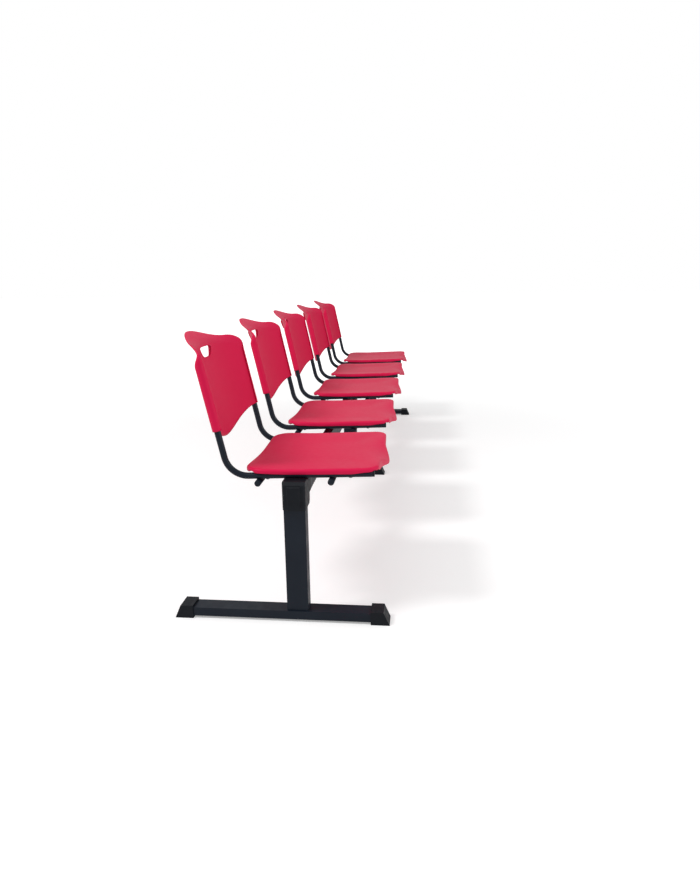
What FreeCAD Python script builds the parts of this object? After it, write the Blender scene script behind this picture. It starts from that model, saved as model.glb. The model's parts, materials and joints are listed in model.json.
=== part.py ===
import FreeCAD, Part
import math
import os
from FreeCAD import Vector

os.makedirs("parts", exist_ok=True)

# Beam seating: moulded seats and backs on bent tube frames, carried by one beam on three legs.
# Millimetres. X runs along the beam, the sitters face -Y, and Z is up from the floor.
# The origin is on the floor, under the middle of the bench and midway along the end feet.

# Layout
seat_count = 5
seat_pitch = 600.0
end_leg_offset = 232.0
foot_front_reach = 258.0
foot_rear_reach = 355.0

# Beam, a rectangular tube on edge
beam_width = 30.0
beam_height = 60.0
beam_wall = 2.5
beam_underside = 330.0
beam_overhang = 20.0
plug_flange = 3.0
plug_depth = 13.0

# Side tubes and crossbars of each seat frame
tube_diameter = 18.0
tube_inset = 14.0
run_height = 416.0
run_tilt = 2.0
run_front = 211.0
corner_reach = 188.0
lean = 12.0
bend_radius = 65.0
upright_length = 300.0
crossbar_rear = 106.0
crossbar_front = 97.0
crossbar_overhang = 9.0
end_plug_length = 4.0

# Transverse channel between the crossbars, standing on the beam
channel_width = 90.0
channel_height = 14.0
channel_wall = 3.0

# Seat shell
seat_width = 442.0
seat_rear_reach = 148.0
seat_front_reach = 221.0
seat_rear_corner = 60.0
seat_front_corner = 44.0
seat_front_crown = 8.0
seat_lobe_reach = 16.0
seat_lobe_half_width = 115.0
seat_lobe_drop = 20.0
seat_drop_depth = 72.0
seat_rim_height = 18.0
seat_dish = 7.0
seat_flange = 13.0
seat_front_hang = 8.0
seat_wall = 4.0
seat_edge_radius = 7.0
seat_pad_size = 20.0
seat_pad_rear = 80.0
seat_pad_front = 150.0

# Back shell, drawn in its own leaning plane: heights are measured up the side tubes from their corner
back_socket_bottom = 131.0
back_socket_top = 311.0
back_socket_wall = 4.0
back_wall = 4.0
back_depth = 55.0
back_edge_depth = 11.0
back_lobe_bottom = 80.0
back_crease_side = 325.0
back_crease_middle = 356.0
back_top_side = 370.0
back_top_middle = 408.0
back_corner_radius = 38.0
back_crown_half_width = 191.0
lip_flare_side = 8.0
lip_flare_middle = 35.0
lip_flare_half_width = 176.0
lip_curl = 0.33
handle_top_width = 96.0
handle_bottom_width = 58.0
handle_height = 27.0
handle_drop = 2.0
handle_corner_radius = 9.0
handle_collar_wall = 4.0
handle_collar_length = 9.0

# Legs
post_width = 60.0
post_depth = 40.0
post_wall = 2.0
saddle_plate = 4.0
saddle_top = 386.0
foot_width = 50.0
foot_height = 25.0
foot_wall = 2.0
middle_foot_front_reach = 165.0
middle_foot_rear_reach = 235.0

# Moulded foot caps
cap_length = 53.0
cap_floor = 7.0
cap_side = 3.2
cap_roof = 6.0
cap_nose_slope = 17.0
cap_end_wall = 22.0

# Moulded covers over the heads of the legs
cover_width = 63.0
cover_depth = 75.0
cover_ear_depth = 101.0
cover_ear_bottom = 360.0
cover_top = 409.0
cover_step_top = 404.5
cover_step_depth = 40.0
cover_wall = 2.7
cover_chamfer = 8.0
cover_panel_width = 38.0
cover_panel_top = 397.0
cover_panel_proud = 3.0
cover_panel_chamfer = 2.5

# Room left between pieces that slide together
slip_clearance = 0.3

# Straight steps that stand for the curves of what the bench repeats five times and more
tube_flats = 10
seat_corner_steps = 5
seat_front_steps = 10
back_steps = 10

# Values that follow from the sizes above
beam_y = (foot_front_reach - foot_rear_reach) / 2
beam_top = beam_underside + beam_height
end_leg_x = (seat_count - 1) / 2 * seat_pitch + end_leg_offset
beam_half_length = end_leg_x + beam_overhang
tube_radius = tube_diameter / 2
tube_spacing = seat_width - 2 * tube_inset
back_width = tube_spacing + tube_diameter + 2 * back_socket_wall
foot_top = cap_floor + foot_height
x_axis = Vector(1, 0, 0)
y_axis = Vector(0, 1, 0)
z_axis = Vector(0, 0, 1)


def box(x_low, x_high, y_low, y_high, z_low, z_high):
    size = (x_high - x_low, y_high - y_low, z_high - z_low)
    return Part.makeBox(*size, Vector(x_low, y_low, z_low))


def rectangular_tube(x_low, x_high, y_low, y_high, z_low, z_high, wall, along):
    """A tube of rectangular section, open at both ends of its axis ("x", "y" or "z")."""
    outer = box(x_low, x_high, y_low, y_high, z_low, z_high)
    inset = {axis: 0.0 if axis == along else wall for axis in "xyz"}
    inner = box(x_low + inset["x"], x_high - inset["x"], y_low + inset["y"], y_high - inset["y"],
                z_low + inset["z"], z_high - inset["z"])
    return outer.cut(inner)


def rod(start, direction, length):
    """A straight length of the frame tube."""
    return Part.Face(tube_section(start, direction)).extrude(direction * length)


def tube_section(centre, direction, clearance=0.0):
    """The frame tube's round section, drawn with a few flats because the bench repeats it so often."""
    radius = tube_radius + clearance
    turns = [2 * math.pi * i / tube_flats for i in range(tube_flats + 1)]
    points = [Vector(radius * math.cos(turn), radius * math.sin(turn), 0) for turn in turns]
    section = Part.makePolygon(points)
    section.Placement = FreeCAD.Placement(centre, FreeCAD.Rotation(z_axis, direction))
    return section


def spread(low, high, count):
    return [low + (high - low) * i / (count - 1) for i in range(count)]


def wave(position, half_width):
    """1 at the middle, falling smoothly to 0 at the half width and beyond."""
    if abs(position) >= half_width:
        return 0.0
    return 0.5 + 0.5 * math.cos(math.pi * position / half_width)


def save(name, shape):
    shape.exportStep("parts/" + name + ".step")


def seat_centres():
    middle = (seat_count - 1) / 2
    return [(i - middle) * seat_pitch for i in range(seat_count)]


def leg_centres():
    return {"left": -end_leg_x, "middle": 0.0, "right": end_leg_x}


# Frames of reference that ride on the side tubes

def place_on_run(shape, centre_x):
    """Move a shape drawn about the tube axis at the beam into the tilted plane of the tubes' runs."""
    placed = shape.copy()
    placed.rotate(Vector(0, 0, 0), x_axis, -run_tilt)
    placed.translate(Vector(centre_x, beam_y, run_height))
    return placed


def place_on_upright(shape, centre_x):
    """Move a shape drawn upright at the tubes' corner onto the leaning uprights."""
    placed = shape.copy()
    placed.rotate(Vector(0, 0, 0), x_axis, -lean)
    placed.translate(corner_point() + Vector(centre_x, 0, 0))
    return placed


def corner_point():
    """Where the axes of a side tube's run and upright would meet, on the plane X = 0."""
    return Vector(0, beam_y + corner_reach, run_height - corner_reach * math.tan(math.radians(run_tilt)))


# Seat frames

def side_tube_path():
    corner = corner_point()
    run_direction = Vector(0, -math.cos(math.radians(run_tilt)), math.sin(math.radians(run_tilt)))
    upright_direction = Vector(0, math.sin(math.radians(lean)), math.cos(math.radians(lean)))
    turn = math.radians(90 + run_tilt - lean)
    tangent = bend_radius * math.tan(turn / 2)
    run_length = (run_front + corner_reach) / math.cos(math.radians(run_tilt))
    front_end = corner + run_direction * run_length
    bend_start = corner + run_direction * tangent
    bend_end = corner + upright_direction * tangent
    top_end = corner + upright_direction * upright_length
    towards_centre = (run_direction + upright_direction).normalize()
    centre_distance = bend_radius / math.cos(turn / 2)
    bend_middle = corner + towards_centre * (centre_distance - bend_radius)
    return front_end, bend_start, bend_middle, bend_end, top_end


def side_tube(x):
    front_end, bend_start, bend_middle, bend_end, top_end = side_tube_path()
    path = Part.Wire([
        Part.makeLine(front_end, bend_start),
        Part.Arc(bend_start, bend_middle, bend_end).toShape(),
        Part.makeLine(bend_end, top_end),
    ])
    section = tube_section(front_end, (bend_start - front_end).normalize())
    tube = path.makePipeShell([section], True, False)
    tube.translate(Vector(x, 0, 0))
    return tube


def tube_end_plug(x):
    front_end, bend_start = side_tube_path()[:2]
    outwards = (front_end - bend_start).normalize()
    return rod(front_end + Vector(x, 0, 0), outwards, end_plug_length)


def crossbar(y):
    half_length = tube_spacing / 2 + tube_radius + crossbar_overhang
    return rod(Vector(-half_length, y, -tube_diameter), x_axis, 2 * half_length)


def beam_channel(centre_x):
    """The folded channel between the two crossbars, coped to fit them, that stands on the beam."""
    half_width = channel_width / 2
    half_hollow = half_width - channel_wall
    y_low = beam_y - crossbar_front
    y_high = beam_y + crossbar_rear
    top = beam_top + channel_height
    outer = box(centre_x - half_width, centre_x + half_width, y_low, y_high, beam_top, top)
    hollow = box(centre_x - half_hollow, centre_x + half_hollow, y_low, y_high, beam_top + channel_wall, top)
    channel = outer.cut(hollow)
    for y in (-crossbar_front, crossbar_rear):
        channel = channel.cut(place_on_run(crossbar(y), centre_x))
    return channel


# Shells drawn as bands between rings of points

def band(lower, upper):
    """Flat faces between two rows of as many points."""
    faces = []
    for first, second, near, far in zip(lower, lower[1:], upper, upper[1:]):
        for corners in ([first, second, far], [first, far, near]):
            if (corners[1] - corners[0]).cross(corners[2] - corners[0]).Length > 1e-6:
                faces.append(flat_face(corners))
    return faces


def flat_face(points):
    """A plane face whose border runs through the points; repeated ones count once."""
    border = [point for point, before in zip(points, points[-1:] + points[:-1]) if point != before]
    return Part.Face(Part.makePolygon(border + border[:1]))


def bands(rings):
    faces = []
    for lower, upper in zip(rings, rings[1:]):
        faces += band(lower, upper)
    return faces


def solid_of(faces):
    shell = Part.makeShell(faces)
    shell.sewShape()
    solid = Part.makeSolid(shell)
    if solid.Volume < 0:
        solid.reverse()
    return solid.removeSplitter()


# Seat shell

def seat_front_y(x, inset):
    straight = seat_width / 2 - seat_front_corner
    reach = seat_front_crown * wave(x, straight) + seat_lobe_reach * wave(x, seat_lobe_half_width)
    return -seat_front_reach + inset - reach


def seat_drop(x, y):
    """How far the front edge curls down, most at the lobe."""
    lobe_tip = -seat_front_reach - seat_front_crown - seat_lobe_reach
    reach = max(lobe_tip + seat_drop_depth - y, 0.0) / seat_drop_depth
    return seat_lobe_drop * wave(x, seat_width / 2 - seat_front_corner) * reach ** 2


def seat_quarter_turns():
    return [math.radians(90 * i / seat_corner_steps) for i in range(seat_corner_steps + 1)]


def seat_corner_centres():
    """Centres of the rounded corners at the right-hand rear and front, the same for every ring."""
    half_width = seat_width / 2
    rear = Vector(half_width - seat_rear_corner, seat_rear_reach - seat_rear_corner, 0)
    front = Vector(half_width - seat_front_corner, -seat_front_reach + seat_front_corner, 0)
    return rear, front


def closed_ring(right, front):
    """The whole ring from its right-hand half and the points along its front."""
    left = [Vector(-point.x, point.y, point.z) for point in reversed(right)]
    return right + front + left + right[:1]


def seat_front_xs():
    reach = seat_corner_centres()[1].x
    return spread(reach, -reach, seat_front_steps + 1)[1:-1]


def seat_ring(inset, height, hang=0.0):
    """The seat's outline drawn inwards, following the curl of its front; the hang lowers that end."""
    rear, front = seat_corner_centres()
    rear_radius = seat_rear_corner - inset
    front_radius = seat_front_corner - inset
    right = [rear + Vector(rear_radius * math.sin(turn), rear_radius * math.cos(turn), height)
             for turn in seat_quarter_turns()]
    low = height - hang
    right += [front + Vector(front_radius * math.cos(turn), -front_radius * math.sin(turn), low)
              for turn in seat_quarter_turns()]
    front_points = []
    for x in seat_front_xs():
        y = seat_front_y(x, inset)
        front_points.append(Vector(x, y, low - seat_drop(x, y)))
    return closed_ring(right, front_points)


def seat_flat_ring(height):
    """The border of the dish's flat middle, which runs through the centres of the rounded corners."""
    level = Vector(0, 0, height)
    rear, front = (centre + level for centre in seat_corner_centres())
    steps = seat_corner_steps + 1
    front_points = [Vector(x, front.y, height) for x in seat_front_xs()]
    return closed_ring([rear] * steps + [front] * steps, front_points)


def seat_shell():
    edge = seat_edge_radius
    soft = edge * (1 - math.sqrt(0.5))
    rim = seat_rim_height
    outside = [
        seat_ring(0, rim - seat_flange, seat_front_hang),
        seat_ring(0, rim - edge),
        seat_ring(soft, rim - soft),
        seat_ring(edge, rim),
        seat_flat_ring(rim - seat_dish),
    ]
    inside = [
        outside[0],
        seat_ring(seat_wall, rim - seat_flange, seat_front_hang),
        seat_ring(seat_wall, rim - seat_wall),
        seat_flat_ring(rim - seat_dish - seat_wall),
    ]
    shell = solid_of(bands(outside) + bands(inside) + [flat_face(outside[-1]), flat_face(inside[-1])])
    for x in (-tube_spacing / 2, tube_spacing / 2):
        shell = shell.cut(seat_notch(x))
        for y in (-seat_pad_front, seat_pad_rear):
            shell = shell.fuse(seat_pad(x, y))
    return shell.removeSplitter()


def seat_notch(x):
    """Room for a side tube where the hanging edge of the seat crosses it, front and rear."""
    half = tube_radius + slip_clearance
    return box(x - half, x + half, -2 * seat_front_reach, 2 * seat_rear_reach, -tube_diameter, half)


def seat_pad(x, y):
    """A pad under the skin that stands on a side tube round one of the four screws."""
    half = seat_pad_size / 2
    return box(x - half, x + half, y - half, y + half, tube_radius, seat_rim_height - seat_wall)


# Back shell

def back_centre():
    """Centre and radius of the arc that the sitter's side of the back follows across its width."""
    half_chord = tube_spacing / 2
    radius = (half_chord ** 2 + back_depth ** 2) / (2 * back_depth)
    return back_depth - back_edge_depth - radius, radius


def back_front_depth(x):
    """How far the sitter's side of the back lies behind the plane of the tube axes."""
    centre_y, radius = back_centre()
    return centre_y + math.sqrt(radius ** 2 - x ** 2)


def back_crease(x):
    across = (2 * x / back_width) ** 2
    return back_crease_middle - (back_crease_middle - back_crease_side) * across


def back_top(x):
    rise = back_top_middle - back_top_side
    corner = max(abs(x) - (back_width / 2 - back_corner_radius), 0.0)
    rounding = back_corner_radius - math.sqrt(max(back_corner_radius ** 2 - corner ** 2, 0.0))
    return back_top_side + rise * wave(x, back_crown_half_width) ** 1.2 - rounding


def back_bottom(x):
    middle = (back_lobe_bottom + back_socket_bottom) / 2
    swing = (back_socket_bottom - back_lobe_bottom) / 2
    return middle - swing * math.cos(2 * math.pi * x / back_width)


def lip_flare(x):
    return lip_flare_side + (lip_flare_middle - lip_flare_side) * wave(x, lip_flare_half_width)


def back_xs():
    """Places across the back for its rows of points, closer at the rounded upper corners."""
    corner = back_width / 2 - back_corner_radius
    ends = [corner + back_corner_radius * math.sin(math.radians(angle)) for angle in (30, 60, 90)]
    return [-x for x in reversed(ends)] + spread(-corner, corner, back_steps + 1) + ends


def back_row(xs, height, depth_offset, flare=0.0):
    """Points across the back at the height given by a function of x, with a share of the lip's lean."""
    depths = [back_front_depth(x) + depth_offset + flare * lip_flare(x) for x in xs]
    return [Vector(x, depth, height(x)) for x, depth in zip(xs, depths)]


def back_section(xs, height, flare=0.0):
    """A closed ring of points: across the sitter's side and back along the rear."""
    front = back_row(xs, height, 0.0, flare)
    rear = back_row(xs, height, back_wall, flare)
    return front + rear[::-1] + front[:1]


def lip_middle(x):
    return (back_crease(x) + back_top(x)) / 2


def socket_top(x):
    return back_socket_top


def back_upper():
    """The part above the sockets: a plain band up to the crease and the lip that curls back."""
    xs = back_xs()
    rings = [back_section(xs, socket_top), back_section(xs, back_crease),
             back_section(xs, lip_middle, lip_curl), back_section(xs, back_top, 1.0)]
    top = band(back_row(xs, back_top, 0.0, 1.0), back_row(xs, back_top, back_wall, 1.0))
    return solid_of(bands(rings) + [flat_face(rings[0])] + top)


def back_lower():
    """The part between the sockets, and the sockets that take the tops of the side tubes."""
    half = tube_spacing / 2
    inner_xs = [x for x in back_xs() if abs(x) < half]
    panel = flat_face(back_section([-half] + inner_xs + [half], socket_top))
    panel = panel.extrude(z_axis * (back_lobe_bottom - back_socket_top))
    panel = panel.cut(below_back())
    for x in (-half, half):
        foot = Vector(x, 0, back_socket_bottom)
        socket = Part.Face(tube_section(foot, z_axis, back_socket_wall))
        panel = panel.fuse(socket.extrude(z_axis * (back_socket_top - back_socket_bottom)))
    for x in (-half, half):
        bore = Part.Face(tube_section(Vector(x, 0, back_lobe_bottom), z_axis, slip_clearance))
        panel = panel.cut(bore.extrude(z_axis * (upright_length - back_lobe_bottom)))
    return panel


def below_back():
    """Everything under the lobed lower edge of the back's panel."""
    half = back_width / 2
    edge = [Vector(x, -back_depth, back_bottom(x)) for x in spread(-half, half, back_steps + 1)]
    down = z_axis * -back_socket_bottom
    return flat_face(edge + [edge[-1] + down, edge[0] + down]).extrude(y_axis * 2 * back_depth)


def handle_prism(margin, y_low, y_high):
    """The outline of the grip hole grown by a margin and drawn out from one depth to another."""
    top = back_crease_middle - handle_drop + margin
    bottom = top - handle_height - 2 * margin
    half_top = handle_top_width / 2 + margin
    half_bottom = handle_bottom_width / 2 + margin
    corners = [Vector(-half_top, y_low, top), Vector(half_top, y_low, top),
               Vector(half_bottom, y_low, bottom), Vector(-half_bottom, y_low, bottom)]
    length = y_high - y_low
    prism = Part.Face(Part.makePolygon(corners + corners[:1])).extrude(Vector(0, length, 0))
    through_edges = [edge for edge in prism.Edges if abs(edge.Length - length) < 0.01]
    return prism.makeFillet(handle_corner_radius + margin, through_edges)


def back_shell():
    """The whole back, with a collar behind the grip hole."""
    skin = back_front_depth(0)
    rear = skin + back_wall
    collar = handle_prism(handle_collar_wall, skin + back_wall / 2, rear + handle_collar_length)
    upper = back_upper().fuse(collar).cut(handle_prism(0, 0, 2 * back_depth))
    return back_lower().fuse(upper).removeSplitter()


# Beam

def beam():
    y_low = beam_y - beam_width / 2
    y_high = beam_y + beam_width / 2
    return rectangular_tube(-beam_half_length, beam_half_length, y_low, y_high,
                            beam_underside, beam_top, beam_wall, "x")


def beam_end_plug(side):
    """A plastic plug: its flange covers the beam's end and its body fits inside the tube."""
    end = beam_half_length
    fit = beam_wall + slip_clearance
    flange = box(end, end + plug_flange, -beam_width / 2, beam_width / 2, beam_underside, beam_top)
    body = box(end - plug_depth, end, -beam_width / 2 + fit, beam_width / 2 - fit,
               beam_underside + beam_wall, beam_top - fit)
    plug = flange.fuse(body).removeSplitter()
    if side < 0:
        plug = plug.mirror(Vector(0, 0, 0), x_axis)
    plug.translate(Vector(0, beam_y, 0))
    return plug


# Legs

def leg_post(x):
    """The upright tube with its closed top, and the two plates between which the beam is held."""
    half_depth = post_depth / 2
    post = box(x - half_depth, x + half_depth, beam_y - post_width / 2, beam_y + post_width / 2,
               foot_top, beam_underside)
    inside = box(x - half_depth + post_wall, x + half_depth - post_wall, beam_y - post_width / 2 + post_wall,
                 beam_y + post_width / 2 - post_wall, foot_top, beam_underside - saddle_plate)
    post = post.cut(inside)
    inner = beam_width / 2 + slip_clearance
    outer = inner + saddle_plate
    for y_low, y_high in ((inner, outer), (-outer, -inner)):
        plate = box(x - half_depth, x + half_depth, beam_y + y_low, beam_y + y_high, beam_underside, saddle_top)
        post = post.fuse(plate)
    return post.removeSplitter()


def foot_bar(x, front_reach, rear_reach):
    bar_front = beam_y - front_reach + cap_end_wall
    bar_rear = beam_y + rear_reach - cap_end_wall
    return rectangular_tube(x - foot_width / 2, x + foot_width / 2, bar_front, bar_rear,
                            cap_floor, foot_top, foot_wall, "y")


def foot_cap(x, tip_y, direction):
    """A slip-on cap with a raked nose; direction is +1 for the rear end and -1 for the front."""
    height = foot_top + cap_roof
    half_width = foot_width / 2 + cap_side
    profile = [Vector(0, 0, 0), Vector(0, -cap_length, 0), Vector(0, -cap_length, height),
               Vector(0, -cap_nose_slope, height)]
    cap = Part.Face(Part.makePolygon(profile + profile[:1])).extrude(Vector(2 * half_width, 0, 0))
    cap.translate(Vector(-half_width, 0, 0))
    pocket_half = foot_width / 2 + slip_clearance
    pocket = box(-pocket_half, pocket_half, -cap_length, -cap_end_wall, cap_floor, foot_top + slip_clearance)
    cap = cap.cut(pocket)
    if direction < 0:
        cap = cap.mirror(Vector(0, 0, 0), y_axis)
    cap.translate(Vector(x, tip_y, 0))
    return cap


def end_cover_outline(inset):
    """The side view of an end leg's cover, drawn inwards: stepped on top, eared towards the bench's middle."""
    outer = beam_half_length + plug_flange + slip_clearance + cover_wall
    inner = outer - cover_depth
    points = [(outer - inset, beam_underside), (outer - inset, cover_top - cover_chamfer),
              (outer - cover_chamfer, cover_top - inset), (outer - cover_step_depth + inset, cover_top - inset),
              (outer - cover_step_depth + inset, cover_step_top - inset),
              (outer - cover_ear_depth + inset, cover_step_top - inset),
              (outer - cover_ear_depth + inset, cover_ear_bottom + inset), (inner + inset, cover_ear_bottom + inset),
              (inner + inset, beam_underside + cover_chamfer), (inner + cover_chamfer + inset, beam_underside)]
    return [Vector(x, 0, z) for x, z in points]


def upright_slab(outline, half_width):
    """A side view drawn out to the same width on both sides of the beam's middle plane."""
    face = Part.Face(Part.makePolygon(outline + outline[:1]))
    slab = face.extrude(Vector(0, 2 * half_width, 0))
    slab.translate(Vector(0, -half_width, 0))
    return slab


def end_leg_cover(side):
    """The moulded cover over an end leg's head, drawn for the right-hand end."""
    outer_x = beam_half_length + plug_flange + slip_clearance + cover_wall
    shell = upright_slab(end_cover_outline(0), cover_width / 2)
    upright_edges = [edge for edge in shell.Edges if is_upright_at(edge, outer_x)]
    shell = shell.makeChamfer(cover_chamfer / 2, upright_edges)
    shell = shell.cut(upright_slab(end_cover_outline(cover_wall), cover_width / 2 - cover_wall))
    panel = box(outer_x - cover_wall, outer_x + cover_panel_proud, -cover_panel_width / 2, cover_panel_width / 2,
                beam_underside, cover_panel_top)
    panel_edges = [edge for edge in panel.Edges if is_panel_edge(edge, outer_x + cover_panel_proud)]
    panel = panel.makeChamfer(cover_panel_chamfer, panel_edges)
    cover = shell.fuse(panel).cut(beam_passage(outer_x - cover_wall)).removeSplitter()
    if side < 0:
        cover = cover.mirror(Vector(0, 0, 0), x_axis)
    cover.translate(Vector(0, beam_y, 0))
    return cover


def middle_leg_cover():
    """The sleeve round the middle leg's head, split by the beam into a front and a rear half."""
    half = cover_depth / 2
    sleeve = rectangular_tube(-half, half, -cover_width / 2, cover_width / 2, beam_underside,
                              beam_top - slip_clearance, cover_wall, "z")
    sleeve = sleeve.cut(beam_passage(half))
    sleeve.translate(Vector(0, beam_y, 0))
    return sorted(sleeve.Solids, key=lambda solid: solid.CenterOfMass.y)


def beam_passage(x_high):
    """Room for the beam through the walls of a leg's cover, from the bench's middle outwards."""
    half_slot = beam_width / 2 + slip_clearance
    return box(-cover_depth, x_high, -half_slot, half_slot, beam_underside, beam_top + slip_clearance)


def is_upright_at(edge, face_x):
    upright = abs(edge.Vertexes[0].Point.x - edge.Vertexes[1].Point.x) < 0.01
    across = abs(edge.Vertexes[0].Point.y - edge.Vertexes[1].Point.y) > 1
    return upright and not across and abs(edge.CenterOfMass.x - face_x) < 0.01


def is_panel_edge(edge, face_x):
    centre = edge.CenterOfMass
    return abs(centre.x - face_x) < 0.01 and centre.z > beam_underside + 1


def build_seats():
    shell = seat_shell()
    back = back_shell()
    plugs = []
    for number, centre_x in enumerate(seat_centres(), 1):
        save("seat_shell_%d" % number, place_on_run(shell, centre_x))
        save("back_shell_%d" % number, place_on_upright(back, centre_x))
        for side, x in (("left", -tube_spacing / 2), ("right", tube_spacing / 2)):
            save("%s_side_tube_%d" % (side, number), side_tube(centre_x + x))
            plugs.append(tube_end_plug(centre_x + x))
        save("rear_crossbar_%d" % number, place_on_run(crossbar(crossbar_rear), centre_x))
        save("front_crossbar_%d" % number, place_on_run(crossbar(-crossbar_front), centre_x))
        save("beam_channel_%d" % number, beam_channel(centre_x))
    save("side_tube_plugs", Part.makeCompound(plugs))


def build_beam():
    save("beam", beam())
    save("beam_end_plugs", Part.makeCompound([beam_end_plug(-1), beam_end_plug(1)]))


def build_legs():
    reaches = {
        "left": (foot_front_reach, foot_rear_reach),
        "middle": (middle_foot_front_reach, middle_foot_rear_reach),
        "right": (foot_front_reach, foot_rear_reach),
    }
    for name, x in leg_centres().items():
        front_reach, rear_reach = reaches[name]
        save(name + "_leg_post", leg_post(x))
        save(name + "_foot_bar", foot_bar(x, front_reach, rear_reach))
        save(name + "_front_foot_cap", foot_cap(x, beam_y - front_reach, -1))
        save(name + "_rear_foot_cap", foot_cap(x, beam_y + rear_reach, 1))
    save("left_leg_cover", end_leg_cover(-1))
    for name, half in zip(("front", "rear"), middle_leg_cover()):
        save("middle_leg_%s_cover" % name, half)
    save("right_leg_cover", end_leg_cover(1))


build_seats()
build_beam()
build_legs()
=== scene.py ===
import json
import math

import bpy
from mathutils import Matrix, Vector


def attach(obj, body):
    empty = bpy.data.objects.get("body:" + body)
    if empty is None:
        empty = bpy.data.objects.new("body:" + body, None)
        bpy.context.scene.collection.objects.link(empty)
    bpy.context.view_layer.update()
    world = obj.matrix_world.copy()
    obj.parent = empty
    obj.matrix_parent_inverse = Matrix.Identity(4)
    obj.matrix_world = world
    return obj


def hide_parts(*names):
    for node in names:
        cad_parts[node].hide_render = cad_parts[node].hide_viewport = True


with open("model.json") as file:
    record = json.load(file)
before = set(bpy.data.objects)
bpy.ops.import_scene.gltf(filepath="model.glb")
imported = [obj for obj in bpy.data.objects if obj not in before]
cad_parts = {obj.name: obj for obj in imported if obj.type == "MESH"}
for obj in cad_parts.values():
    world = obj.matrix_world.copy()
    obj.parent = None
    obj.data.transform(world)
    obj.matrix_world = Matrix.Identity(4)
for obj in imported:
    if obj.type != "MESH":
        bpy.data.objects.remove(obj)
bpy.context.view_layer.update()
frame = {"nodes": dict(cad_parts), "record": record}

# Looks for the beam seating: fine red mouldings, powder coat, moulded covers, a white studio and the camera.
# Metres, in the frame of the CAD part: X along the beam, the sitters face -Y, Z up from the floor.

MM = 0.001

# Layout, the same as the CAD part's
seat_count = 5
seat_pitch = 600 * MM
tube_spacing = 414 * MM
tube_radius = 9 * MM
beam_y = -48.5 * MM
beam_underside = 330 * MM
beam_top = 390 * MM
run_height = 416 * MM
run_tilt = math.radians(2)
run_front = 211 * MM
corner_reach = 188 * MM
lean = math.radians(12)
bend_radius = 65 * MM
upright_length = 300 * MM
crossbar_rear = 106 * MM
crossbar_front = 97 * MM
crossbar_overhang = 9 * MM
plug_length = 4 * MM
channel_wall = 3 * MM
bolt_offset = 32 * MM

# Seat shell
seat_half_width = 221 * MM
seat_rear_reach = 148 * MM
seat_front_reach = 227 * MM
seat_rear_corner = 60 * MM
seat_front_corner = 40 * MM
seat_front_crown = 5 * MM
seat_lobe_reach = 13 * MM
seat_lobe_half_width = 115 * MM
seat_lobe_drop = 34 * MM
seat_drop_depth = 72 * MM
seat_rim_height = 18 * MM
seat_rear_sag = 4.5 * MM
seat_dish = 7 * MM
seat_flat_share = 0.42
seat_dish_rings = 22
seat_flange = 13 * MM
seat_side_hang = 3 * MM
seat_end_lift = 1.5 * MM
seat_shoulder_hang = 11 * MM
seat_shoulder_inner = 150 * MM
seat_shoulder_outer = 192 * MM
seat_end_start = 150 * MM
seat_end_full = 195 * MM
seat_tube_clearance = 0.3 * MM
seat_wall = 4 * MM
seat_edge_radius = 7 * MM
seat_pad_rear = 80 * MM
seat_pad_front = 150 * MM

# Back shell
back_half_width = 220 * MM
back_wall = 4 * MM
back_depth = 55 * MM
back_edge_depth = 11 * MM
back_socket_bottom = 131 * MM
back_socket_radius = 13 * MM
back_socket_fade_low = 309 * MM
back_socket_fade_high = 357 * MM
back_lobe_bottom = 80 * MM
socket_front_turn = -118
socket_rear_turn = 140
back_crease_side = 325 * MM
back_crease_middle = 356 * MM
back_top_side = 370 * MM
back_top_middle = 408 * MM
back_crown_half_width = 191.3 * MM
back_corner_radius = 52 * MM
lip_flare_side = 13 * MM
lip_flare_middle = 35 * MM
lip_flare_half_width = 176 * MM
lip_curl = 1.6
handle_top_half = 54 * MM
handle_bottom_half = 31 * MM
handle_height = 31 * MM
handle_drop = 2 * MM
handle_squareness = 4.5
handle_middle = Vector((0, back_crease_middle - handle_drop - handle_height / 2))
handle_collar_wall = 4 * MM
handle_collar_length = 4 * MM
handle_collar_flare = 7 * MM

# Cells of the back's grid across and up the grip hole and beside it, and how far out the hole bends them
hole_columns = 12
side_columns = 28
hole_rows = 6
rows_below_hole = 33
rows_above_hole = 16
hole_reach = 2.4

# Camera, fitted to the photograph: place in metres, turns in degrees
camera_place = Vector((-3.12794, -0.38487, 0.94445))
camera_yaw = 6.18999191
camera_pitch = 13.42647877
camera_roll = -0.86495501
camera_lens = 27.543
camera_sensor = 36.0

# Light from all round, and the floor's own light to the camera near the bench and far from it
world_strength = 0.62
floor_glow_near = 0.30
floor_glow_far = 0.80


# Geometry helpers

def wave(position, half_width):
    """1 at the middle, falling smoothly to 0 at the half width and beyond."""
    if abs(position) >= half_width:
        return 0.0
    return 0.5 + 0.5 * math.cos(math.pi * position / half_width)


def spread(low, high, count):
    return [low + (high - low) * i / (count - 1) for i in range(count)]


def smooth_step(value, low, high):
    t = min(max((value - low) / (high - low), 0.0), 1.0)
    return t * t * (3 - 2 * t)


def mesh_of(name, points, faces):
    mesh = bpy.data.meshes.new(name)
    mesh.from_pydata(points, [], faces)
    mesh.validate()
    mesh.polygons.foreach_set("use_smooth", [True] * len(mesh.polygons))
    mesh.update()
    return mesh


def add_piece(name, mesh, place, replaced):
    piece = bpy.data.objects.new(name, mesh)
    bpy.context.scene.collection.objects.link(piece)
    piece.matrix_world = place
    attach(piece, "root")
    if replaced:
        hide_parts(replaced)
    return piece


def from_run():
    """From the tilted plane of the tubes' runs to the bench, for a place at its middle."""
    return Matrix.Translation((0, beam_y, run_height)) @ Matrix.Rotation(-run_tilt, 4, "X")


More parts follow.
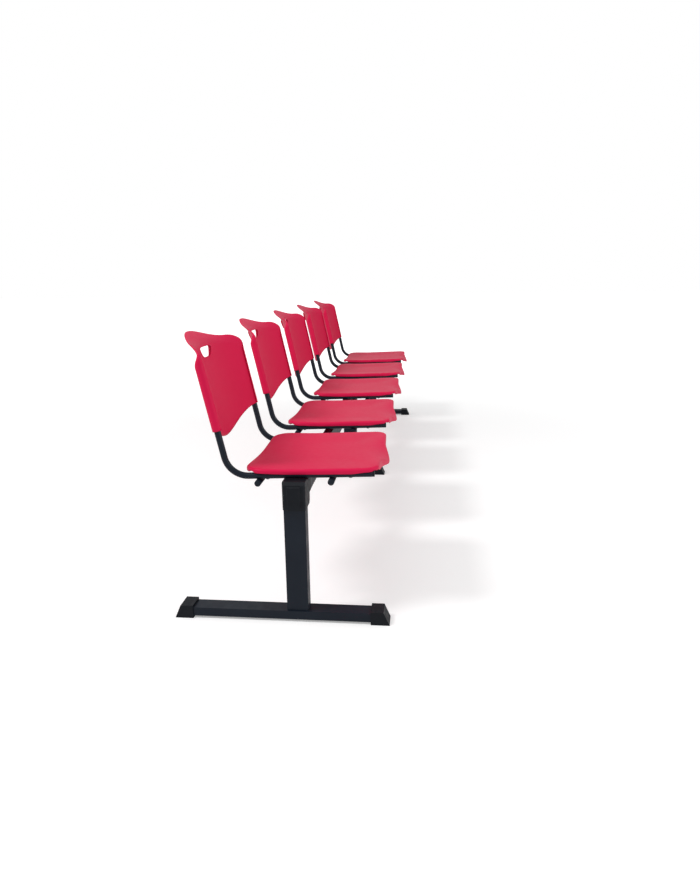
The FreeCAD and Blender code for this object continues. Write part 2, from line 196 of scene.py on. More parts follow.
def from_upright():
    """From the leaning plane of the tubes' uprights to the bench, for a place at its middle."""
    corner = (0, beam_y + corner_reach, run_height - corner_reach * math.tan(run_tilt))
    return Matrix.Translation(corner) @ Matrix.Rotation(-lean, 4, "X")


def across_to(x):
    return Matrix.Translation((x, 0, 0))


def seat_centres():
    return [(i - (seat_count - 1) / 2) * seat_pitch for i in range(seat_count)]


# Seat shell: closed rings from the hanging edge over the rim to the middle of the dish

def seat_front_y(x, inset):
    straight = seat_half_width - seat_front_corner
    reach = seat_front_crown * wave(x, straight) + seat_lobe_reach * wave(x, seat_lobe_half_width)
    return -seat_front_reach + inset - reach


def seat_drop(x, y):
    """How far the skin lies below the rim's own level: the front's curl and a slight sag at the rear."""
    lobe_tip = -seat_front_reach - seat_front_crown - seat_lobe_reach
    reach = max(lobe_tip + seat_drop_depth - y, 0.0) / seat_drop_depth
    curl = seat_lobe_drop * wave(x, seat_half_width - seat_front_corner) * reach ** 2
    sag = seat_rear_sag * math.cos(math.pi * x / seat_half_width) * smooth_step(y, 0.0, seat_rear_reach)
    return curl + sag


def seat_hang(x, y):
    """How much deeper than usual the edge hangs: more along the sides, less over the tubes."""
    rear_turn = seat_rear_reach - seat_rear_corner
    front_turn = -seat_front_reach + seat_front_corner
    share = min(max((rear_turn - y) / (rear_turn - front_turn), 0.0), 1.0)
    front = smooth_step(-y, seat_end_start, seat_end_full)
    inside = 1 - smooth_step(abs(x), seat_shoulder_inner, seat_shoulder_outer)
    shoulder = inside * (1 - wave(x, seat_lobe_half_width))
    hang = seat_side_hang * share * (1 - front) + (seat_shoulder_hang * shoulder - seat_end_lift) * front
    across = abs(abs(x) - tube_spacing / 2)
    notch = tube_radius + seat_tube_clearance
    if across < notch and (y < -seat_pad_front or y > seat_pad_rear):
        arch = math.sqrt(notch ** 2 - across ** 2)
        hang = min(hang, seat_rim_height - seat_flange - arch)
    return hang


def arc_point(x, y, radius, turn):
    """A point on an arc about (x, y); the turn runs from +Y towards +X."""
    return Vector((x + radius * math.sin(turn), y + radius * math.cos(turn)))


def seat_outline(inset):
    """Points of the seat's outline drawn inwards, once round."""
    half = seat_half_width - inset
    rear = seat_rear_reach - inset
    rear_radius = seat_rear_corner - inset
    front_radius = seat_front_corner - inset
    rear_x = half - rear_radius
    front_x = half - front_radius
    rear_y = rear - rear_radius
    front_y = seat_front_y(front_x, inset) + front_radius
    quarter = math.pi / 2
    turns = spread(0, quarter, 15)[1:]
    points = [Vector((x, rear)) for x in spread(-rear_x, rear_x, 27)]
    points += [arc_point(rear_x, rear_y, rear_radius, turn) for turn in turns]
    points += [Vector((half, y)) for y in spread(rear_y, front_y, 25)[1:]]
    points += [arc_point(front_x, front_y, front_radius, quarter + turn) for turn in turns]
    points += [Vector((x, seat_front_y(x, inset))) for x in spread(front_x, -front_x, 49)[1:]]
    points += [arc_point(-front_x, front_y, front_radius, 2 * quarter + turn) for turn in turns]
    points += [Vector((-half, y)) for y in spread(front_y, rear_y, 25)[1:]]
    points += [arc_point(-rear_x, rear_y, rear_radius, 3 * quarter + turn) for turn in turns[:-1]]
    return points


def seat_dish_depth(share):
    """Depth of the dish at a share of the way from the middle (0) to the rim (1)."""
    return seat_dish * (1 - smooth_step(share, seat_flat_share, 1.0))


def seat_rings():
    """Rings of points from the underside's middle round the edge to the top's, and both middle points."""
    edge = seat_edge_radius
    middle = Vector((0, (seat_rear_reach - seat_front_reach) / 2))
    shares = [1 - (i / seat_dish_rings) ** 1.15 for i in range(1, seat_dish_rings)]
    top_rim = seat_outline(edge)
    under_rim = seat_outline(seat_wall + edge / 2)

    def lifted(points, height, hang=0.0):
        heights = [height - seat_drop(p.x, p.y) - hang * seat_hang(p.x, p.y) for p in points]
        return [Vector((p.x, p.y, z)) for p, z in zip(points, heights)]

    def towards_middle(points, share, height):
        inner = [middle + (p - middle) * share for p in points]
        return [Vector((p.x, p.y, height - seat_dish_depth(share) - seat_drop(p.x, p.y))) for p in inner]

    low = seat_rim_height - seat_flange
    lip = 1.2 * MM
    rings = [towards_middle(under_rim, share, seat_rim_height - seat_wall) for share in reversed(shares)]
    rings.append(lifted(under_rim, seat_rim_height - seat_wall))
    rings.append(lifted(seat_outline(seat_wall + lip / 2), seat_rim_height - seat_wall - lip / 2))
    rings.append(lifted(seat_outline(seat_wall), seat_rim_height - seat_wall - 2 * lip))
    rings.append(lifted(seat_outline(seat_wall), low + lip, 1.0))
    rings.append(lifted(seat_outline(seat_wall - lip / 2), low + lip / 3, 1.0))
    rings.append(lifted(seat_outline(seat_wall - lip), low, 1.0))
    rings.append(lifted(seat_outline(lip), low, 1.0))
    rings.append(lifted(seat_outline(lip / 3), low + lip / 3, 1.0))
    rings.append(lifted(seat_outline(0), low + lip, 1.0))
    for angle in spread(0, math.pi / 2, 8):
        inset = edge * (1 - math.cos(angle))
        rings.append(lifted(seat_outline(inset), seat_rim_height - edge + edge * math.sin(angle)))
    rings += [towards_middle(top_rim, share, seat_rim_height) for share in shares]
    ends = [Vector((middle.x, middle.y, seat_rim_height - seat_wall - seat_dish)),
            Vector((middle.x, middle.y, seat_rim_height - seat_dish))]
    return rings, ends


def seat_mesh():
    rings, ends = seat_rings()
    count = len(rings[0])
    points = [p for ring in rings for p in ring] + ends
    faces = []
    for r in range(len(rings) - 1):
        for i in range(count):
            j = (i + 1) % count
            faces.append((r * count + j, r * count + i, (r + 1) * count + i, (r + 1) * count + j))
    under, top = len(points) - 2, len(points) - 1
    last = (len(rings) - 1) * count
    for i in range(count):
        j = (i + 1) % count
        faces.append((under, i, j))
        faces.append((top, last + j, last + i))
    return mesh_of("seat_mesh", points, faces)


# Back shell: level sections from the lobed lower edge to the flared lip, with the grip hole let in

def back_front(x):
    """Depth of the sitter's side behind the plane of the tube axes."""
    half_chord = tube_spacing / 2
    radius = (half_chord ** 2 + back_depth ** 2) / (2 * back_depth)
    return back_depth - back_edge_depth - radius + math.sqrt(radius ** 2 - x ** 2)


def back_crease(x):
    return back_crease_middle - (back_crease_middle - back_crease_side) * (x / back_half_width) ** 2


def back_top(x):
    rise = back_top_middle - back_top_side
    return back_top_side + rise * wave(x, back_crown_half_width) ** 1.2


def back_outer_x(z):
    """Half the width of the back at a height: it narrows round the upper corners."""
    into_corner = max(z - (back_top_side - back_corner_radius), 0.0)
    left = math.sqrt(max(back_corner_radius ** 2 - into_corner ** 2, 0.0))
    return back_half_width - back_corner_radius + left


def back_bottom(x):
    middle = (back_lobe_bottom + back_socket_bottom) / 2
    swing = (back_socket_bottom - back_lobe_bottom) / 2
    return middle - swing * math.cos(math.pi * x / back_half_width)


def lip_flare(x, z):
    """How far the lip leans back at a height: nothing below the crease."""
    height = back_top(x) - back_crease(x)
    share = max((z - back_crease(x)) / height, 0.0)
    full = lip_flare_side + (lip_flare_middle - lip_flare_side) * wave(x, lip_flare_half_width)
    return full * share ** lip_curl


def bulb_radius(z):
    """Half the thickness of the side edge: a socket round the tube, drawn out to the panel's own edge."""
    panel = back_wall / 2
    blend = smooth_step(z, back_socket_fade_low, back_socket_fade_high)
    return back_socket_radius + (panel - back_socket_radius) * blend


def handle_edge(a, b):
    """A point on the grip hole's outline in the direction (a, b) on the unit square."""
    scale = (abs(a) ** handle_squareness + abs(b) ** handle_squareness) ** (-1 / handle_squareness)
    mean_half = (handle_top_half + handle_bottom_half) / 2
    half = mean_half + (handle_top_half - handle_bottom_half) / 2 * b * scale
    return Vector((a * scale * half, b * scale * handle_height / 2))


def warp_round_handle(x, z):
    """Draws the grid of the panel in to the outline of the grip hole."""
    half_x = (handle_top_half + handle_bottom_half) / 2
    half_z = handle_height / 2
    a = x / half_x
    b = (z - handle_middle.y) / half_z
    reach = max(abs(a), abs(b))
    if reach >= hole_reach or reach < 0.999:
        return x, z
    unit = (a / reach, b / reach)
    inner = handle_edge(*unit)
    outer = Vector((unit[0] * half_x, unit[1] * half_z)) * hole_reach
    share = (reach - 1) / (hole_reach - 1)
    moved = inner.lerp(outer, share)
    return moved.x, moved.y + handle_middle.y


def panel_columns(edge_x):
    """Values of x across the panel out to its edge; the middle ones line up with the grip hole."""
    half_x = (handle_top_half + handle_bottom_half) / 2
    inner = spread(-half_x, half_x, hole_columns + 1)
    shares = [1 - (1 - i / side_columns) ** 1.4 for i in range(1, side_columns + 1)]
    side = [half_x + (edge_x - half_x) * share for share in shares]
    return [-x for x in reversed(side)] + inner + side


def panel_rows():
    """Heights of the rows on the middle line; some line up with the grip hole."""
    low_z, high_z = handle_middle.y - handle_height / 2, handle_middle.y + handle_height / 2
    below = spread(back_lobe_bottom, low_z, rows_below_hole + 1)
    inside = spread(low_z, high_z, hole_rows + 1)[1:]
    above = spread(high_z, back_top_middle, rows_above_hole + 1)[1:]
    return below + inside + above


def panel_height(x, share_z):
    """Stretches a height on the middle line to the panel's height at x; the grip hole's rows stay level."""
    low_z, high_z = handle_middle.y - handle_height / 2, handle_middle.y + handle_height / 2
    margin = 14 * MM
    level = 1 - smooth_step(abs(x), handle_top_half + margin, handle_top_half + 5 * margin)
    whole = (share_z - back_lobe_bottom) / (back_top_middle - back_lobe_bottom)
    plain = back_bottom(x) + (back_top(x) - back_bottom(x)) * whole
    if share_z <= low_z:
        part = (share_z - back_lobe_bottom) / (low_z - back_lobe_bottom)
        kept = back_bottom(x) + (low_z - back_bottom(x)) * part
    elif share_z <= high_z:
        kept = share_z
    else:
        part = (share_z - high_z) / (back_top_middle - high_z)
        kept = high_z + (back_top(x) - high_z) * part
    return plain + (kept - plain) * level


def back_point(x, z, behind):
    return Vector((x, back_front(x) + lip_flare(x, z) + behind, z))


def bulb_ring(side, z):
    """Points round the side edge of a section, from the sitter's side outwards and round to the rear."""
    radius = bulb_radius(z)
    centre_x = back_outer_x(z) - radius
    panel_middle = back_front(centre_x) + lip_flare(centre_x, z) + back_wall / 2
    share = (back_socket_radius - radius) / (back_socket_radius - back_wall / 2)
    centre_y = panel_middle * share
    start = math.radians(socket_front_turn * (1 - share) - 90 * share)
    end = math.radians(socket_rear_turn * (1 - share) + 90 * share)
    ring = []
    for angle in spread(start, end, 19):
        x = centre_x + radius * math.cos(angle)
        ring.append(Vector((side * x, centre_y + radius * math.sin(angle), z)))
    return ring


def back_section(share_z):
    """One loop of points: across the front, round an edge, back across the rear and round the other edge."""
    edge_x = back_half_width - back_socket_radius
    for _ in range(12):
        edge_z = min(panel_height(edge_x, share_z), back_top_side)
        edge_x = back_outer_x(edge_z) - bulb_radius(edge_z)
    loops = {}
    for face, behind in (("front", 0.0), ("rear", back_wall)):
        row = []
        for x in panel_columns(edge_x):
            warped_x, warped_z = warp_round_handle(x, panel_height(x, share_z))
            row.append(back_point(warped_x, warped_z, behind))
        loops[face] = row
    right = bulb_ring(1, edge_z)
    left = bulb_ring(-1, edge_z)
    return loops["front"], right, list(reversed(loops["rear"])), list(reversed(left))


def in_handle(column, row):
    """Whether a cell of the panel's grid lies inside the grip hole."""
    in_columns = side_columns <= column < side_columns + hole_columns
    return in_columns and rows_below_hole <= row < rows_below_hole + hole_rows


def back_mesh():
    rows = [back_section(z) for z in panel_rows()]
    front_count = len(rows[0][0])
    points = [p for row in rows for part in row for p in part]
    count = sum(len(part) for part in rows[0])
    rear_start = front_count + len(rows[0][1])
    faces = []
    for r in range(len(rows) - 1):
        for i in range(count):
            j = (i + 1) % count
            if i < front_count - 1 and in_handle(i, r):
                continue
            from_rear = i - rear_start
            if 0 <= from_rear < front_count - 1 and in_handle(front_count - 2 - from_rear, r):
                continue
            faces.append((r * count + i, r * count + j, (r + 1) * count + j, (r + 1) * count + i))
    faces += end_cap(rows, 0, count, False) + end_cap(rows, len(rows) - 1, count, True)
    faces += handle_walls(rows, points, count, front_count, rear_start)
    return mesh_of("back_mesh", points, faces)


def end_cap(rows, row, count, top):
    """Closes a section: quads between the front and the rear, and fans over the side edges."""
    front_count = len(rows[row][0])
    bulb_count = len(rows[row][1])
    rear_start = front_count + bulb_count
    base = row * count
    faces = []
    for i in range(front_count - 1):
        near = (base + i, base + i + 1)
        far = (base + rear_start + front_count - 2 - i, base + rear_start + front_count - 1 - i)
        face = (near[0], near[1], far[0], far[1])
        faces.append(face if top else tuple(reversed(face)))
    right = [base + front_count - 1 + i for i in range(bulb_count + 2)]
    left = [base + (rear_start + front_count - 1 + i) % count for i in range(bulb_count + 2)]
    for ring in (right, left):
        faces.append(tuple(ring) if top else tuple(reversed(ring)))
    return faces


def hole_loop():
    """The cells' corners round the grip hole, as (column, row)."""
    last_column = side_columns + hole_columns
    last_row = rows_below_hole + hole_rows
    loop = [(column, rows_below_hole) for column in range(side_columns, last_column)]
    loop += [(last_column, row) for row in range(rows_below_hole, last_row)]
    loop += [(column, last_row) for column in range(last_column, side_columns, -1)]
    return loop + [(side_columns, row) for row in range(last_row, rows_below_hole, -1)]


def handle_walls(rows, points, count, front_count, rear_start):
    """The walls of the grip hole, from the sitter's side to the end of the collar behind it."""
    loop = hole_loop()
    front = [row * count + column for column, row in loop]
    rear = [row * count + rear_start + front_count - 1 - column for column, row in loop]
    rear_depth = back_front(0.0) + back_wall + handle_collar_length
    centre = handle_middle
    inner = []
    outer = []
    for index in rear:
        point = points[index]
        away = Vector((point.x - centre.x, point.z - centre.y)).normalized()
        opened = away * handle_collar_flare
        grown = away * (handle_collar_flare + handle_collar_wall)
        inner.append(Vector((point.x + opened.x, rear_depth, point.z + opened.y)))
        outer.append(Vector((point.x + grown.x, rear_depth, point.z + grown.y)))
    roots = [Vector((point.x, points[index].y, point.z)) for point, index in zip(outer, rear)]
    rounded = 0.8 * MM
    inner_soft = [Vector((p.x, p.y - rounded, p.z)) for p in inner]
    outer_soft = [Vector((p.x, p.y - rounded, p.z)) for p in outer]
    start = len(points)
    size = len(loop)
    for ring in (inner_soft, inner, outer, outer_soft, roots):
        points += ring
    rings = [front, [start + i for i in range(size)]]
    rings += [[start + size * n + i for i in range(size)] for n in (1, 2, 3, 4)]
    faces = []
    for near, far in zip(rings, rings[1:]):
        for i in range(size):
            j = (i + 1) % size
            faces.append((near[j], near[i], far[i], far[j]))
    for i in range(size):
        j = (i + 1) % size
        faces.append((rings[-1][j], rings[-1][i], rear[i], rear[j]))
    return faces


# Frame tubes and small fasteners

def side_tube_path():
    """Points along a side tube's axis, its closed front end first, about the plane X = 0."""
    corner = Vector((0, beam_y + corner_reach, run_height - corner_reach * math.tan(run_tilt)))
    run = Vector((0, -math.cos(run_tilt), math.sin(run_tilt)))
    upright = Vector((0, math.sin(lean), math.cos(lean)))
    turn = math.pi / 2 + run_tilt - lean
    tangent = bend_radius * math.tan(turn / 2)
    run_length = (run_front + corner_reach) / math.cos(run_tilt)
    start = corner + run * tangent
    centre = start + Vector((0, math.sin(run_tilt), math.cos(run_tilt))) * bend_radius
    radius = start - centre
    bend = [centre + Matrix.Rotation(angle, 3, "X") @ radius for angle in spread(0.0, turn, 19)]
    return [corner + run * run_length] + bend + [corner + upright * upright_length]


def swept_tube(name, path, radius, sides=40):
    """A round tube along a path, closed at both ends with softened rims."""
    points = []
    faces = []
    soft = radius * 0.08
    first = (path[1] - path[0]).normalized()
    last = (path[-1] - path[-2]).normalized()
    stations = [(path[0], first, radius - soft), (path[0] + first * soft, first, radius)]
    for before, here, after in zip(path, path[1:], path[2:]):
        direction = ((here - before).normalized() + (after - here).normalized()).normalized()
        stations.append((here, direction, radius))
    stations += [(path[-1] - last * soft, last, radius), (path[-1], last, radius - soft)]
    for centre, direction, ring_radius in stations:
        across = Vector((1, 0, 0)) if abs(direction.x) < 0.5 else Vector((0, 1, 0))
        upwards = direction.cross(across).normalized()
        for i in range(sides):
            turn = 2 * math.pi * i / sides
            points.append(centre + (across * math.cos(turn) + upwards * math.sin(turn)) * ring_radius)
    for r in range(len(stations) - 1):
        for i in range(sides):
            j = (i + 1) % sides
            faces.append((r * sides + i, r * sides + j, (r + 1) * sides + j, (r + 1) * sides + i))
    faces.append(tuple(range(sides - 1, -1, -1)))
    top = (len(stations) - 1) * sides
    faces.append(tuple(top + i for i in range(sides)))
    return mesh_of(name, points, faces)


def turned_piece(name, profile, sides):
    """A closed solid of revolution about Z: the profile gives (radius, height) from foot to top."""
    points = [Vector((0, 0, profile[0][1]))]
    faces = []
    rings = profile[1:-1]
    for radius, height in rings:
        for i in range(sides):
            turn = 2 * math.pi * (i + 0.5) / sides
            points.append(Vector((radius * math.cos(turn), radius * math.sin(turn), height)))
    points.append(Vector((0, 0, profile[-1][1])))
    last = len(points) - 1
    for r in range(len(rings) - 1):
        for i in range(sides):
            j = (i + 1) % sides
            here, above = 1 + r * sides, 1 + (r + 1) * sides
            faces.append((here + i, here + j, above + j, above + i))
    for i in range(sides):
        j = (i + 1) % sides
        faces.append((0, 1 + j, 1 + i))
        top = 1 + (len(rings) - 1) * sides
        faces.append((last, top + i, top + j))
    return mesh_of(name, points, faces)


def hexagon_bolt_mesh():
    """A bolt head on its washer, seen from outside: the foot seats at height 0."""
    washer = [(0.0, 0.0), (8.5 * MM, 0.0), (8.5 * MM, 1.4 * MM), (8.2 * MM, 1.6 * MM), (0.0, 1.6 * MM)]
    head = [(0.0, 1.5 * MM), (7.5 * MM, 1.5 * MM), (7.5 * MM, 6.4 * MM), (6.6 * MM, 6.9 * MM),
            (0.0, 6.9 * MM)]
    return joined_mesh("hexagon_bolt", [turned_piece("washer", washer, 32), turned_piece("head", head, 6)])


def screw_mesh():
    """A plain domed screw head: the foot seats at height 0."""
    dome = [(5.2 * MM * math.cos(t), 2.6 * MM * math.sin(t)) for t in spread(-0.15, 1.3, 7)]
    return turned_piece("screw", [(0.0, -1.0 * MM)] + dome + [(0.0, 2.55 * MM)], 24)


def joined_mesh(name, meshes):
    points = []
    faces = []
    for mesh in meshes:
        start = len(points)
        points += [vertex.co.copy() for vertex in mesh.vertices]
        faces += [tuple(start + index for index in polygon.vertices) for polygon in mesh.polygons]
        bpy.data.meshes.remove(mesh)
    return mesh_of(name, points, faces)


# Materials

def start_material(name):
    """A material with its shader, its node tree and the object's own coordinates."""
    material = bpy.data.materials.new(name)
    material.use_nodes = True
    tree = material.node_tree
    shader = tree.nodes["Principled BSDF"]
    place = tree.nodes.new("ShaderNodeTexCoord").outputs["Object"]
    return material, tree, shader, place


def add_noise(tree, place, scale, detail=2.0, roughness=0.5):
    noise = tree.nodes.new("ShaderNodeTexNoise")
    noise.inputs["Scale"].default_value = scale
    noise.inputs["Detail"].default_value = detail
    noise.inputs["Roughness"].default_value = roughness
    tree.links.new(place, noise.inputs["Vector"])
    return noise.outputs["Fac"]


def add_ramp(tree, factor, stops):
    """Colours along a factor: stops are (position, colour)."""
    ramp = tree.nodes.new("ShaderNodeValToRGB")
    elements = ramp.color_ramp.elements
    while len(elements) < len(stops):
        elements.new(0.5)
    for element, (position, colour) in zip(elements, stops):
        element.position = position
        element.color = (*colour, 1.0)
    tree.links.new(factor, ramp.inputs["Fac"])
    return ramp.outputs["Color"]


def add_range(tree, factor, low, high):
    """A number that runs from low to high as the factor runs over a noise's usual spread."""
    scale = tree.nodes.new("ShaderNodeMapRange")
    scale.inputs["From Min"].default_value = 0.3
    scale.inputs["From Max"].default_value = 0.7
    scale.inputs["To Min"].default_value = low
    scale.inputs["To Max"].default_value = high
    tree.links.new(factor, scale.inputs["Value"])
    return scale.outputs["Result"]


def add_bump(tree, shader, height, strength, distance, under=None):
    bump = tree.nodes.new("ShaderNodeBump")
    bump.inputs["Strength"].default_value = strength
    bump.inputs["Distance"].default_value = distance
    tree.links.new(height, bump.inputs["Height"])
    if under:
        tree.links.new(under, bump.inputs["Normal"])
    tree.links.new(bump.outputs["Normal"], shader.inputs["Normal"])
    return bump.outputs["Normal"]


def red_plastic():
    """Moulded plastic: one red through and through, finely grained, a little cloudy."""
    material, tree, shader, place = start_material("red_plastic")
    cloud = add_noise(tree, place, 9.0, 3.0)
    colour = add_ramp(tree, cloud, [(0.3, (0.685, 0.0070, 0.068)), (0.7, (0.705, 0.0080, 0.072))])
    tree.links.new(colour, shader.inputs["Base Color"])
    tree.links.new(add_range(tree, add_noise(tree, place, 60.0), 0.40, 0.44), shader.inputs["Roughness"])
    add_bump(tree, shader, add_noise(tree, place, 1400.0, 1.0), 0.08, 0.0002)
    shader.inputs["Specular IOR Level"].default_value = 0.12
    return material


def powder_coat():
    """Blue-black powder coat: a faint orange peel and slight changes of gloss."""
    material, tree, shader, place = start_material("powder_coat")
    colour = add_ramp(tree, add_noise(tree, place, 14.0, 3.0), [(0.3, (0.0065, 0.0105, 0.0190)),
                                                                (0.7, (0.0090, 0.0140, 0.0235))])
    tree.links.new(colour, shader.inputs["Base Color"])
    tree.links.new(add_range(tree, add_noise(tree, place, 45.0), 0.34, 0.46), shader.inputs["Roughness"])
    add_bump(tree, shader, add_noise(tree, place, 700.0, 2.0), 0.12, 0.0002)
    shader.inputs["Specular IOR Level"].default_value = 0.20
    return material


def black_plastic():
    """Moulded caps and covers: matt, with a fine spark-eroded grain."""
    material, tree, shader, place = start_material("black_plastic")
    colour = add_ramp(tree, add_noise(tree, place, 30.0, 2.0), [(0.3, (0.0030, 0.0045, 0.0080)),
                                                                (0.7, (0.0050, 0.0070, 0.0110))])
    tree.links.new(colour, shader.inputs["Base Color"])
    tree.links.new(add_range(tree, add_noise(tree, place, 80.0), 0.42, 0.56), shader.inputs["Roughness"])
    add_bump(tree, shader, add_noise(tree, place, 1800.0, 1.0), 0.3, 0.0002)
    shader.inputs["Specular IOR Level"].default_value = 0.20
    return material


def zinc_steel():
    """Zinc-plated fasteners: bright grey, slightly streaked."""
    material, tree, shader, place = start_material("zinc_steel")
    streaks = add_noise(tree, place, 120.0, 3.0)
    colour = add_ramp(tree, streaks, [(0.3, (0.42, 0.43, 0.45)), (0.7, (0.60, 0.61, 0.62))])
    tree.links.new(colour, shader.inputs["Base Color"])
    tree.links.new(add_range(tree, add_noise(tree, place, 300.0), 0.28, 0.45), shader.inputs["Roughness"])
    shader.inputs["Metallic"].default_value = 1.0
    return material


def paint_cad_nodes(materials):
    """Gives every carried-over CAD node the material of its record slot."""
    slots = {row["node"]: row["material_slot"] for row in frame["record"]["subparts"]}
    for node, piece in frame["nodes"].items():
        material = materials[slots[node]]
        piece.data.materials.clear()
        piece.data.materials.append(material)


# Stage

def look_at_light(name, place, target, size, power):
    light = bpy.data.lights.new(name, "AREA")
    light.shape = "DISK"
    light.size = size
    light.energy = power
    lamp = bpy.data.objects.new(name, light)
    lamp.location = place
    lamp.rotation_euler = (Vector(target) - Vector(place)).to_track_quat("-Z", "Y").to_euler()
    bpy.context.scene.collection.objects.link(lamp)
    return lamp


def white_world(strength):
    """Soft white light from all round, seen by the camera as plain white."""
    world = bpy.data.worlds.new("studio")
    bpy.context.scene.world = world
    world.use_nodes = True
    tree = world.node_tree
    light = tree.nodes["Background"]
    light.inputs["Color"].default_value = (1.0, 1.0, 1.0, 1.0)
    light.inputs["Strength"].default_value = strength
    seen = tree.nodes.new("ShaderNodeBackground")
    seen.inputs["Color"].default_value = (1.0, 1.0, 1.0, 1.0)
    path = tree.nodes.new("ShaderNodeLightPath")
    mix = tree.nodes.new("ShaderNodeMixShader")
    tree.links.new(path.outputs["Is Camera Ray"], mix.inputs["Fac"])
    tree.links.new(light.outputs["Background"], mix.inputs[1])
    tree.links.new(seen.outputs["Background"], mix.inputs[2])
    tree.links.new(mix.outputs["Shader"], tree.nodes["World Output"].inputs["Surface"])


def white_floor():
    """A large pale floor: it shows the bench's shadow and turns plain white to the camera further out."""
    half = 30.0
    corners = [(-half, -half, 0), (half, -half, 0), (half, half, 0), (-half, half, 0)]
    floor = bpy.data.objects.new("floor", mesh_of("floor", corners, [(0, 1, 2, 3)]))
    bpy.context.scene.collection.objects.link(floor)
    material, tree, shader, place = start_material("floor")
    shader.inputs["Base Color"].default_value = (0.82, 0.82, 0.82, 1.0)
    shader.inputs["Roughness"].default_value = 1.0
    shader.inputs["Specular IOR Level"].default_value = 0.0
    distance = tree.nodes.new("ShaderNodeVectorMath")
    distance.operation = "LENGTH"
    tree.links.new(place, distance.inputs[0])
    glow = tree.nodes.new("ShaderNodeMapRange")
    glow.interpolation_type = "SMOOTHSTEP"
    glow.inputs["From Min"].default_value = 1.2
    glow.inputs["From Max"].default_value = 5.0
    glow.inputs["To Min"].default_value = floor_glow_near
    glow.inputs["To Max"].default_value = floor_glow_far
    tree.links.new(distance.outputs["Value"], glow.inputs["Value"])
    path = tree.nodes.new("ShaderNodeLightPath")
    gain = tree.nodes.new("ShaderNodeMath")
    gain.operation = "MULTIPLY"
    tree.links.new(path.outputs["Is Camera Ray"], gain.inputs[0])
    tree.links.new(glow.outputs["Result"], gain.inputs[1])
    shader.inputs["Emission Color"].default_value = (1.0, 1.0, 1.0, 1.0)
    tree.links.new(gain.outputs["Value"], shader.inputs["Emission Strength"])
    floor.data.materials.append(material)


def add_camera():
    """The fitted camera: yaw from the beam's axis, pitch below level, and roll."""
    yaw, pitch, roll = (math.radians(turn) for turn in (camera_yaw, camera_pitch, camera_roll))
    forward = Vector((math.cos(yaw) * math.cos(pitch), math.sin(yaw) * math.cos(pitch), -math.sin(pitch)))
    level_up = Vector((math.cos(yaw) * math.sin(pitch), math.sin(yaw) * math.sin(pitch), math.cos(pitch)))
    level_right = forward.cross(level_up)
    right = level_right * math.cos(roll) + level_up * math.sin(roll)
    up = level_up * math.cos(roll) - level_right * math.sin(roll)
    data = bpy.data.cameras.new("camera")
    data.lens = camera_lens
    data.sensor_width = camera_sensor
    data.clip_end = 100.0
    camera = bpy.data.objects.new("camera", data)
    turn = Matrix((right, up, -forward)).transposed().to_4x4()
    camera.matrix_world = Matrix.Translation(camera_place) @ turn
    bpy.context.scene.collection.objects.link(camera)
    bpy.context.scene.camera = camera


# Pieces of each place

def along(direction):
    """The turn that takes Z to a direction."""
    return Vector(direction).to_track_quat("Z", "Y").to_matrix().to_4x4()


def add_frame(number, centre_x, metal):
    """The two side tubes and the two crossbars of one place."""
    path = side_tube_path()
    tube = swept_tube("side_tube", path, tube_radius)
    tube.materials.append(metal)
    for side, x in (("left", -tube_spacing / 2), ("right", tube_spacing / 2)):
        add_piece("%s_tube_%d" % (side, number), tube, across_to(centre_x + x),
                  "%s_side_tube_%d" % (side, number))
    half = tube_spacing / 2 + tube_radius + crossbar_overhang
    for name, y in (("rear", crossbar_rear), ("front", -crossbar_front)):
        ends = [Vector((x, y, -2 * tube_radius)) for x in (-half, 0.0, half)]
        bar = swept_tube(name + "_crossbar", ends, tube_radius)
        bar.transform(from_run())
        bar.materials.append(metal)
        add_piece("%s_bar_%d" % (name, number), bar, across_to(centre_x),
                  "%s_crossbar_%d" % (name, number))


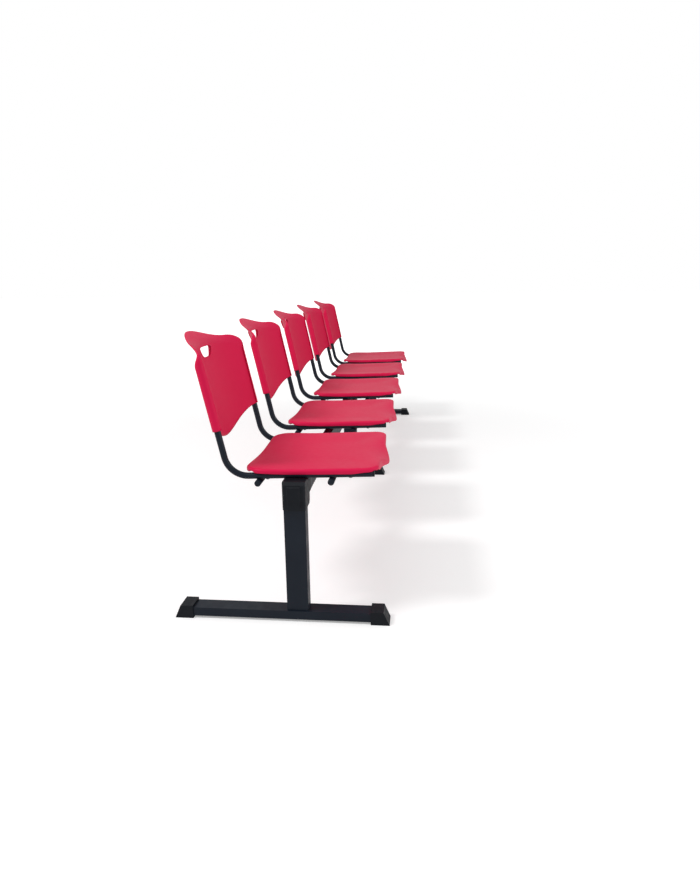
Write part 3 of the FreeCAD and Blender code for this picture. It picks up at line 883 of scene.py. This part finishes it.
def add_end_plugs(plastic):
    """The plugs in the front ends of all side tubes, as one group."""
    front, following = side_tube_path()[:2]
    outwards = (front - following).normalized()
    domes = [front, front + outwards * plug_length * 0.5, front + outwards * plug_length]
    for number, centre_x in enumerate(seat_centres(), 1):
        for side, x in (("left", -tube_spacing / 2), ("right", tube_spacing / 2)):
            plug = swept_tube("tube_plug", domes, tube_radius)
            plug.materials.append(plastic)
            replaced = "side_tube_plugs" if (number, side) == (1, "left") else None
            add_piece("%s_tube_plug_%d" % (side, number), plug, across_to(centre_x + x),
                      replaced)


def add_fasteners(zinc):
    """Bolts that hold each channel to the beam, and the screws under the seats."""
    bolt = hexagon_bolt_mesh()
    bolt.materials.append(zinc)
    screw = screw_mesh()
    screw.materials.append(zinc)
    for number, centre_x in enumerate(seat_centres(), 1):
        for side, x in (("left", -bolt_offset), ("right", bolt_offset)):
            above = Matrix.Translation((centre_x + x, beam_y, beam_top + channel_wall))
            below = Matrix.Translation((centre_x + x, beam_y, beam_underside)) @ along((0, 0, -1))
            add_piece("%s_bolt_%d" % (side, number), bolt, above, None)
            add_piece("%s_nut_%d" % (side, number), bolt, below, None)
        for side, x in (("left", -tube_spacing / 2), ("right", tube_spacing / 2)):
            for end, y in (("front", -seat_pad_front), ("rear", seat_pad_rear)):
                seat = across_to(centre_x) @ from_run() @ Matrix.Translation((x, y, -tube_radius))
                under = seat @ along((0, 0, -1))
                add_piece("%s_%s_screw_%d" % (side, end, number), screw, under, None)


red = red_plastic()
metal = powder_coat()
plastic = black_plastic()
zinc = zinc_steel()
paint_cad_nodes({
    "red_plastic": red,
    "powder_coated_steel": metal,
    "black_plastic": plastic,
    "zinc_steel": zinc,
})

seat_shape = seat_mesh()
seat_shape.transform(from_run())
seat_shape.materials.append(red)
back_shape = back_mesh()
back_shape.transform(from_upright())
back_shape.materials.append(red)
for number, centre_x in enumerate(seat_centres(), 1):
    place = across_to(centre_x)
    add_piece("seat_moulding_%d" % number, seat_shape, place, "seat_shell_%d" % number)
    add_piece("back_moulding_%d" % number, back_shape, place, "back_shell_%d" % number)
    add_frame(number, centre_x, metal)
add_end_plugs(plastic)
add_fasteners(zinc)

white_floor()
white_world(world_strength)
look_at_light("key", (-2.4, 2.6, 4.0), (-0.6, 0.0, 0.3), size=1.2, power=95.0)
look_at_light("fill", (-1.8, -3.4, 2.0), (-0.9, 0.0, 0.5), size=2.5, power=34.0)
add_camera()

bpy.context.scene.view_settings.view_transform = "Standard"
